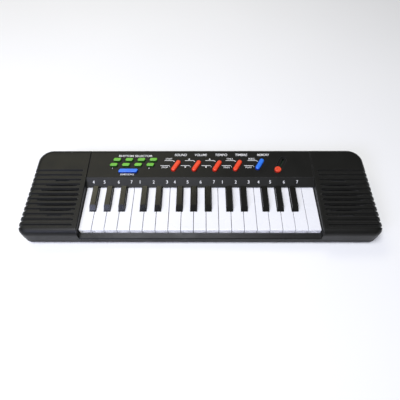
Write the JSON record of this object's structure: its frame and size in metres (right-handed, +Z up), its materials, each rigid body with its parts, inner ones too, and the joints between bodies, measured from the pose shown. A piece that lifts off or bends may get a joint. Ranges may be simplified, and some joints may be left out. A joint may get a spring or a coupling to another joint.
{
  "type": "toy electronic keyboard",
  "caption": "Small battery-powered toy piano keyboard: pressable white and black keys, ribbed speaker ends, panel of push buttons, rocker buttons and a power slide.",
  "frame": {"origin": "under the middle of the casing, on the surface the feet stand on", "axes": "+X along the keys towards the player's right, +Y to the rear, +Z up"},
  "size_m": [0.46, 0.132, 0.0368],
  "materials": {
    "casing_upper": "fine moulded grain, black",
    "casing_lower": "fine moulded grain, charcoal",
    "key_white": "satin gloss white",
    "key_black": "gloss black",
    "button_green": "gloss lime green",
    "button_blue": "gloss bright blue",
    "button_red": "gloss orange red",
    "steel": "drawn steel rod",
    "circuit_board": "green solder mask",
    "contact_rubber": "grey silicone rubber",
    "foot_rubber": "soft black rubber",
    "speaker": "black paper cone and basket",
    "battery_can": "plain wrapped steel can",
    "plated_contact": "nickel plated spring steel",
    "screw_steel": "zinc plated",
    "lead_insulation": "soft insulated wire"
  },
  "bodies": {
    "casing": {"upper_casing": "casing_upper", "lower_casing": "casing_lower", "rubber_feet": "foot_rubber", "key_pivot_rod": "steel", "circuit_boards": "circuit_board", "key_contact_rubber": "contact_rubber", "control_contact_rubber": "contact_rubber", "speakers": "speaker", "batteries": "battery_can", "battery_contacts": "plated_contact", "casing_screws": "screw_steel", "internal_leads": "lead_insulation"},
    "white_key_01": {"white_key_01": "key_white"},
    "white_key_02": {"white_key_02": "key_white"},
    "white_key_03": {"white_key_03": "key_white"},
    "white_key_04": {"white_key_04": "key_white"},
    "white_key_05": {"white_key_05": "key_white"},
    "white_key_06": {"white_key_06": "key_white"},
    "white_key_07": {"white_key_07": "key_white"},
    "white_key_08": {"white_key_08": "key_white"},
    "white_key_09": {"white_key_09": "key_white"},
    "white_key_10": {"white_key_10": "key_white"},
    "white_key_11": {"white_key_11": "key_white"},
    "white_key_12": {"white_key_12": "key_white"},
    "white_key_13": {"white_key_13": "key_white"},
    "white_key_14": {"white_key_14": "key_white"},
    "white_key_15": {"white_key_15": "key_white"},
    "white_key_16": {"white_key_16": "key_white"},
    "white_key_17": {"white_key_17": "key_white"},
    "white_key_18": {"white_key_18": "key_white"},
    "white_key_19": {"white_key_19": "key_white"},
    "black_key_01": {"black_key_01": "key_black"},
    "black_key_02": {"black_key_02": "key_black"},
    "black_key_03": {"black_key_03": "key_black"},
    "black_key_04": {"black_key_04": "key_black"},
    "black_key_05": {"black_key_05": "key_black"},
    "black_key_06": {"black_key_06": "key_black"},
    "black_key_07": {"black_key_07": "key_black"},
    "black_key_08": {"black_key_08": "key_black"},
    "black_key_09": {"black_key_09": "key_black"},
    "black_key_10": {"black_key_10": "key_black"},
    "black_key_11": {"black_key_11": "key_black"},
    "black_key_12": {"black_key_12": "key_black"},
    "black_key_13": {"black_key_13": "key_black"},
    "rhythm_button_1": {"rhythm_button_1": "button_green"},
    "rhythm_button_2": {"rhythm_button_2": "button_green"},
    "rhythm_button_3": {"rhythm_button_3": "button_green"},
    "rhythm_button_4": {"rhythm_button_4": "button_green"},
    "rhythm_button_5": {"rhythm_button_5": "button_green"},
    "rhythm_button_6": {"rhythm_button_6": "button_green"},
    "rhythm_button_7": {"rhythm_button_7": "button_green"},
    "rhythm_button_8": {"rhythm_button_8": "button_green"},
    "demo_button": {"demo_button": "button_blue"},
    "rocker_button_1": {"rocker_button_1": "button_red"},
    "rocker_button_2": {"rocker_button_2": "button_red"},
    "rocker_button_3": {"rocker_button_3": "button_red"},
    "rocker_button_4": {"rocker_button_4": "button_red"},
    "rocker_button_5": {"rocker_button_5": "button_blue"},
    "power_slider": {"power_slider": "button_red"},
    "battery_door": {"battery_door": "casing_lower"}
  },
  "joints": [
    {"name": "white_key_01_press", "type": "hinge", "parent": "casing", "child": "white_key_01", "pos_m": [-0.14544, 0.019, 0.017], "axis": [1, 0, 0], "range_deg": [0, 2.9], "stiffness_Nm_per_rad": 0.8, "springref_deg": -2.86, "deforming": ["key_contact_rubber"]},
    {"name": "white_key_02_press", "type": "hinge", "parent": "casing", "child": "white_key_02", "pos_m": [-0.12928, 0.019, 0.017], "axis": [1, 0, 0], "range_deg": [0, 2.9], "stiffness_Nm_per_rad": 0.8, "springref_deg": -2.86, "deforming": ["key_contact_rubber"]},
    {"name": "white_key_03_press", "type": "hinge", "parent": "casing", "child": "white_key_03", "pos_m": [-0.11312, 0.019, 0.017], "axis": [1, 0, 0], "range_deg": [0, 2.9], "stiffness_Nm_per_rad": 0.8, "springref_deg": -2.86, "deforming": ["key_contact_rubber"]},
    {"name": "white_key_04_press", "type": "hinge", "parent": "casing", "child": "white_key_04", "pos_m": [-0.09696, 0.019, 0.017], "axis": [1, 0, 0], "range_deg": [0, 2.9], "stiffness_Nm_per_rad": 0.8, "springref_deg": -2.86, "deforming": ["key_contact_rubber"]},
    {"name": "white_key_05_press", "type": "hinge", "parent": "casing", "child": "white_key_05", "pos_m": [-0.0808, 0.019, 0.017], "axis": [1, 0, 0], "range_deg": [0, 2.9], "stiffness_Nm_per_rad": 0.8, "springref_deg": -2.86, "deforming": ["key_contact_rubber"]},
    {"name": "white_key_06_press", "type": "hinge", "parent": "casing", "child": "white_key_06", "pos_m": [-0.06464, 0.019, 0.017], "axis": [1, 0, 0], "range_deg": [0, 2.9], "stiffness_Nm_per_rad": 0.8, "springref_deg": -2.86, "deforming": ["key_contact_rubber"]},
    {"name": "white_key_07_press", "type": "hinge", "parent": "casing", "child": "white_key_07", "pos_m": [-0.04848, 0.019, 0.017], "axis": [1, 0, 0], "range_deg": [0, 2.9], "stiffness_Nm_per_rad": 0.8, "springref_deg": -2.86, "deforming": ["key_contact_rubber"]},
    {"name": "white_key_08_press", "type": "hinge", "parent": "casing", "child": "white_key_08", "pos_m": [-0.03232, 0.019, 0.017], "axis": [1, 0, 0], "range_deg": [0, 2.9], "stiffness_Nm_per_rad": 0.8, "springref_deg": -2.86, "deforming": ["key_contact_rubber"]},
    {"name": "white_key_09_press", "type": "hinge", "parent": "casing", "child": "white_key_09", "pos_m": [-0.01616, 0.019, 0.017], "axis": [1, 0, 0], "range_deg": [0, 2.9], "stiffness_Nm_per_rad": 0.8, "springref_deg": -2.86, "deforming": ["key_contact_rubber"]},
    {"name": "white_key_10_press", "type": "hinge", "parent": "casing", "child": "white_key_10", "pos_m": [0, 0.019, 0.017], "axis": [1, 0, 0], "range_deg": [0, 2.9], "stiffness_Nm_per_rad": 0.8, "springref_deg": -2.86, "deforming": ["key_contact_rubber"]},
    {"name": "white_key_11_press", "type": "hinge", "parent": "casing", "child": "white_key_11", "pos_m": [0.01616, 0.019, 0.017], "axis": [1, 0, 0], "range_deg": [0, 2.9], "stiffness_Nm_per_rad": 0.8, "springref_deg": -2.86, "deforming": ["key_contact_rubber"]},
    {"name": "white_key_12_press", "type": "hinge", "parent": "casing", "child": "white_key_12", "pos_m": [0.03232, 0.019, 0.017], "axis": [1, 0, 0], "range_deg": [0, 2.9], "stiffness_Nm_per_rad": 0.8, "springref_deg": -2.86, "deforming": ["key_contact_rubber"]},
    {"name": "white_key_13_press", "type": "hinge", "parent": "casing", "child": "white_key_13", "pos_m": [0.04848, 0.019, 0.017], "axis": [1, 0, 0], "range_deg": [0, 2.9], "stiffness_Nm_per_rad": 0.8, "springref_deg": -2.86, "deforming": ["key_contact_rubber"]},
    {"name": "white_key_14_press", "type": "hinge", "parent": "casing", "child": "white_key_14", "pos_m": [0.06464, 0.019, 0.017], "axis": [1, 0, 0], "range_deg": [0, 2.9], "stiffness_Nm_per_rad": 0.8, "springref_deg": -2.86, "deforming": ["key_contact_rubber"]},
    {"name": "white_key_15_press", "type": "hinge", "parent": "casing", "child": "white_key_15", "pos_m": [0.0808, 0.019, 0.017], "axis": [1, 0, 0], "range_deg": [0, 2.9], "stiffness_Nm_per_rad": 0.8, "springref_deg": -2.86, "deforming": ["key_contact_rubber"]},
    {"name": "white_key_16_press", "type": "hinge", "parent": "casing", "child": "white_key_16", "pos_m": [0.09696, 0.019, 0.017], "axis": [1, 0, 0], "range_deg": [0, 2.9], "stiffness_Nm_per_rad": 0.8, "springref_deg": -2.86, "deforming": ["key_contact_rubber"]},
    {"name": "white_key_17_press", "type": "hinge", "parent": "casing", "child": "white_key_17", "pos_m": [0.11312, 0.019, 0.017], "axis": [1, 0, 0], "range_deg": [0, 2.9], "stiffness_Nm_per_rad": 0.8, "springref_deg": -2.86, "deforming": ["key_contact_rubber"]},
    {"name": "white_key_18_press", "type": "hinge", "parent": "casing", "child": "white_key_18", "pos_m": [0.12928, 0.019, 0.017], "axis": [1, 0, 0], "range_deg": [0, 2.9], "stiffness_Nm_per_rad": 0.8, "springref_deg": -2.86, "deforming": ["key_contact_rubber"]},
    {"name": "white_key_19_press", "type": "hinge", "parent": "casing", "child": "white_key_19", "pos_m": [0.14544, 0.019, 0.017], "axis": [1, 0, 0], "range_deg": [0, 2.9], "stiffness_Nm_per_rad": 0.8, "springref_deg": -2.86, "deforming": ["key_contact_rubber"]},
    {"name": "black_key_01_press", "type": "hinge", "parent": "casing", "child": "black_key_01", "pos_m": [-0.13996, 0.019, 0.017], "axis": [1, 0, 0], "range_deg": [0, 3.6], "stiffness_Nm_per_rad": 0.4, "springref_deg": -2.86, "deforming": ["key_contact_rubber"]},
    {"name": "black_key_02_press", "type": "hinge", "parent": "casing", "child": "black_key_02", "pos_m": [-0.1212, 0.019, 0.017], "axis": [1, 0, 0], "range_deg": [0, 3.6], "stiffness_Nm_per_rad": 0.4, "springref_deg": -2.86, "deforming": ["key_contact_rubber"]},
    {"name": "black_key_03_press", "type": "hinge", "parent": "casing", "child": "black_key_03", "pos_m": [-0.10214, 0.019, 0.017], "axis": [1, 0, 0], "range_deg": [0, 3.6], "stiffness_Nm_per_rad": 0.4, "springref_deg": -2.86, "deforming": ["key_contact_rubber"]},
    {"name": "black_key_04_press", "type": "hinge", "parent": "casing", "child": "black_key_04", "pos_m": [-0.07412, 0.019, 0.017], "axis": [1, 0, 0], "range_deg": [0, 3.6], "stiffness_Nm_per_rad": 0.4, "springref_deg": -2.86, "deforming": ["key_contact_rubber"]},
    {"name": "black_key_05_press", "type": "hinge", "parent": "casing", "child": "black_key_05", "pos_m": [-0.05496, 0.019, 0.017], "axis": [1, 0, 0], "range_deg": [0, 3.6], "stiffness_Nm_per_rad": 0.4, "springref_deg": -2.86, "deforming": ["key_contact_rubber"]},
    {"name": "black_key_06_press", "type": "hinge", "parent": "casing", "child": "black_key_06", "pos_m": [-0.02684, 0.019, 0.017], "axis": [1, 0, 0], "range_deg": [0, 3.6], "stiffness_Nm_per_rad": 0.4, "springref_deg": -2.86, "deforming": ["key_contact_rubber"]},
    {"name": "black_key_07_press", "type": "hinge", "parent": "casing", "child": "black_key_07", "pos_m": [-0.00808, 0.019, 0.017], "axis": [1, 0, 0], "range_deg": [0, 3.6], "stiffness_Nm_per_rad": 0.4, "springref_deg": -2.86, "deforming": ["key_contact_rubber"]},
    {"name": "black_key_08_press", "type": "hinge", "parent": "casing", "child": "black_key_08", "pos_m": [0.01098, 0.019, 0.017], "axis": [1, 0, 0], "range_deg": [0, 3.6], "stiffness_Nm_per_rad": 0.4, "springref_deg": -2.86, "deforming": ["key_contact_rubber"]},
    {"name": "black_key_09_press", "type": "hinge", "parent": "casing", "child": "black_key_09", "pos_m": [0.039, 0.019, 0.017], "axis": [1, 0, 0], "range_deg": [0, 3.6], "stiffness_Nm_per_rad": 0.4, "springref_deg": -2.86, "deforming": ["key_contact_rubber"]},
    {"name": "black_key_10_press", "type": "hinge", "parent": "casing", "child": "black_key_10", "pos_m": [0.05816, 0.019, 0.017], "axis": [1, 0, 0], "range_deg": [0, 3.6], "stiffness_Nm_per_rad": 0.4, "springref_deg": -2.86, "deforming": ["key_contact_rubber"]},
    {"name": "black_key_11_press", "type": "hinge", "parent": "casing", "child": "black_key_11", "pos_m": [0.08628, 0.019, 0.017], "axis": [1, 0, 0], "range_deg": [0, 3.6], "stiffness_Nm_per_rad": 0.4, "springref_deg": -2.86, "deforming": ["key_contact_rubber"]},
    {"name": "black_key_12_press", "type": "hinge", "parent": "casing", "child": "black_key_12", "pos_m": [0.10504, 0.019, 0.017], "axis": [1, 0, 0], "range_deg": [0, 3.6], "stiffness_Nm_per_rad": 0.4, "springref_deg": -2.86, "deforming": ["key_contact_rubber"]},
    {"name": "black_key_13_press", "type": "hinge", "parent": "casing", "child": "black_key_13", "pos_m": [0.1241, 0.019, 0.017], "axis": [1, 0, 0], "range_deg": [0, 3.6], "stiffness_Nm_per_rad": 0.4, "springref_deg": -2.86, "deforming": ["key_contact_rubber"]},
    {"name": "rhythm_button_1_press", "type": "slide", "parent": "casing", "child": "rhythm_button_1", "axis": [0, 0.0477, -0.9989], "range_m": [0, 0.001], "stiffness_N_per_m": 300, "springref_m": -0.0005, "deforming": ["control_contact_rubber"]},
    {"name": "rhythm_button_2_press", "type": "slide", "parent": "casing", "child": "rhythm_button_2", "axis": [0, 0.0477, -0.9989], "range_m": [0, 0.001], "stiffness_N_per_m": 300, "springref_m": -0.0005, "deforming": ["control_contact_rubber"]},
    {"name": "rhythm_button_3_press", "type": "slide", "parent": "casing", "child": "rhythm_button_3", "axis": [0, 0.0477, -0.9989], "range_m": [0, 0.001], "stiffness_N_per_m": 300, "springref_m": -0.0005, "deforming": ["control_contact_rubber"]},
    {"name": "rhythm_button_4_press", "type": "slide", "parent": "casing", "child": "rhythm_button_4", "axis": [0, 0.0477, -0.9989], "range_m": [0, 0.001], "stiffness_N_per_m": 300, "springref_m": -0.0005, "deforming": ["control_contact_rubber"]},
    {"name": "rhythm_button_5_press", "type": "slide", "parent": "casing", "child": "rhythm_button_5", "axis": [0, 0.0477, -0.9989], "range_m": [0, 0.001], "stiffness_N_per_m": 300, "springref_m": -0.0005, "deforming": ["control_contact_rubber"]},
    {"name": "rhythm_button_6_press", "type": "slide", "parent": "casing", "child": "rhythm_button_6", "axis": [0, 0.0477, -0.9989], "range_m": [0, 0.001], "stiffness_N_per_m": 300, "springref_m": -0.0005, "deforming": ["control_contact_rubber"]},
    {"name": "rhythm_button_7_press", "type": "slide", "parent": "casing", "child": "rhythm_button_7", "axis": [0, 0.0477, -0.9989], "range_m": [0, 0.001], "stiffness_N_per_m": 300, "springref_m": -0.0005, "deforming": ["control_contact_rubber"]},
    {"name": "rhythm_button_8_press", "type": "slide", "parent": "casing", "child": "rhythm_button_8", "axis": [0, 0.0477, -0.9989], "range_m": [0, 0.001], "stiffness_N_per_m": 300, "springref_m": -0.0005, "deforming": ["control_contact_rubber"]},
    {"name": "demo_button_press", "type": "slide", "parent": "casing", "child": "demo_button", "axis": [0, 0.0477, -0.9989], "range_m": [0, 0.001], "stiffness_N_per_m": 400, "springref_m": -0.0005, "deforming": ["control_contact_rubber"]},
    {"name": "rocker_button_1_rock", "type": "hinge", "parent": "casing", "child": "rocker_button_1", "pos_m": [-0.0332, 0.03575, 0.02955], "axis": [0.8746, -0.4843, -0.0231], "range_deg": [-4, 4], "stiffness_Nm_per_rad": 0.05, "deforming": ["control_contact_rubber"]},
    {"name": "rocker_button_2_rock", "type": "hinge", "parent": "casing", "child": "rocker_button_2", "pos_m": [-0.0049, 0.03555, 0.02954], "axis": [0.8746, -0.4843, -0.0231], "range_deg": [-4, 4], "stiffness_Nm_per_rad": 0.05, "deforming": ["control_contact_rubber"]},
    {"name": "rocker_button_3_rock", "type": "hinge", "parent": "casing", "child": "rocker_button_3", "pos_m": [0.0236, 0.03535, 0.02953], "axis": [0.8746, -0.4843, -0.0231], "range_deg": [-4, 4], "stiffness_Nm_per_rad": 0.05, "deforming": ["control_contact_rubber"]},
    {"name": "rocker_button_4_rock", "type": "hinge", "parent": "casing", "child": "rocker_button_4", "pos_m": [0.0517, 0.03595, 0.02956], "axis": [0.8746, -0.4843, -0.0231], "range_deg": [-4, 4], "stiffness_Nm_per_rad": 0.05, "deforming": ["control_contact_rubber"]},
    {"name": "rocker_button_5_rock", "type": "hinge", "parent": "casing", "child": "rocker_button_5", "pos_m": [0.0824, 0.03815, 0.02967], "axis": [0.8746, -0.4843, -0.0231], "range_deg": [-4, 4], "stiffness_Nm_per_rad": 0.05, "deforming": ["control_contact_rubber"]},
    {"name": "power_slider_slide", "type": "slide", "parent": "casing", "child": "power_slider", "axis": [0.4602, 0.8868, 0.0423], "range_m": [0, 0.0206]},
    {"name": "battery_door_slide", "type": "slide", "parent": "casing", "child": "battery_door", "axis": [0, 1, 0], "range_m": [0, 0.041]}
  ]
}
